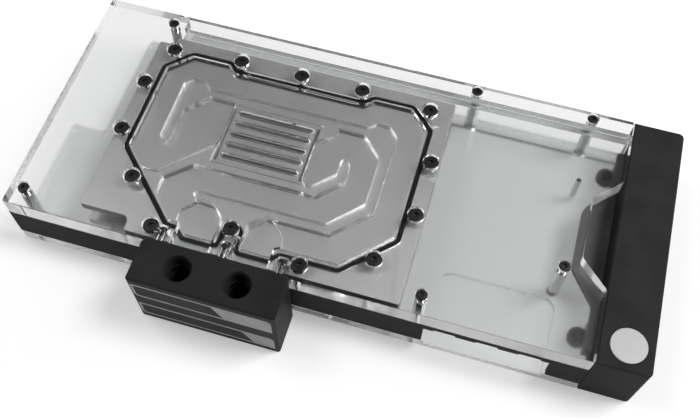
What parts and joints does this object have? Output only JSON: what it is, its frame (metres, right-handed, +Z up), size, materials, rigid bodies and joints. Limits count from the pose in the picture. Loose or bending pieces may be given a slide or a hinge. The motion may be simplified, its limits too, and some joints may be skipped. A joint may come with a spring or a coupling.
{
  "type": "gpu water block",
  "caption": "Flat liquid cooling block for a graphics card: clear cover with milled channels on a plated cold plate, black port terminal and end cover, and a cooled plate behind the board.",
  "frame": {"origin": "bottom centre of the whole block's box", "axes": "+X along the length towards the end cover, +Y from the terminal to the back, +Z up out of the clear top cover"},
  "size_m": [0.302, 0.1508, 0.0405],
  "materials": {
    "clear_acrylic": "clear, polished, milled channels frosted",
    "nickel": "satin nickel plating",
    "steel": "satin",
    "badge_metal": "fine brushed, plain",
    "post_steel": "turned, bright",
    "black_rubber": "matte black",
    "black_steel": "black oxide",
    "black_acetal": "fine matte",
    "black_aluminium": "anodised, matte",
    "dark_metal": "anodised, satin"
  },
  "bodies": {
    "root": {"top_cover": "clear_acrylic", "lower_cover": "clear_acrylic", "rear_wall": "clear_acrylic", "cold_plate": "nickel", "rear_cold_plate": "nickel", "jet_plate": "steel", "end_badge": "badge_metal", "standoffs": "post_steel", "cold_plate_gasket": "black_rubber", "rear_gasket": "black_rubber", "terminal_gaskets": "black_rubber", "cover_screws": "black_steel", "standoff_screws": "black_steel", "lower_standoff_screws": "black_steel", "terminal_screws": "black_steel", "rear_screws": "black_steel", "insert_screws": "black_steel", "end_cover_screws": "black_steel", "terminal_block": "black_acetal", "side_frame": "black_aluminium", "end_cover": "black_aluminium", "end_insert": "dark_metal"}
  },
  "joints": []
}
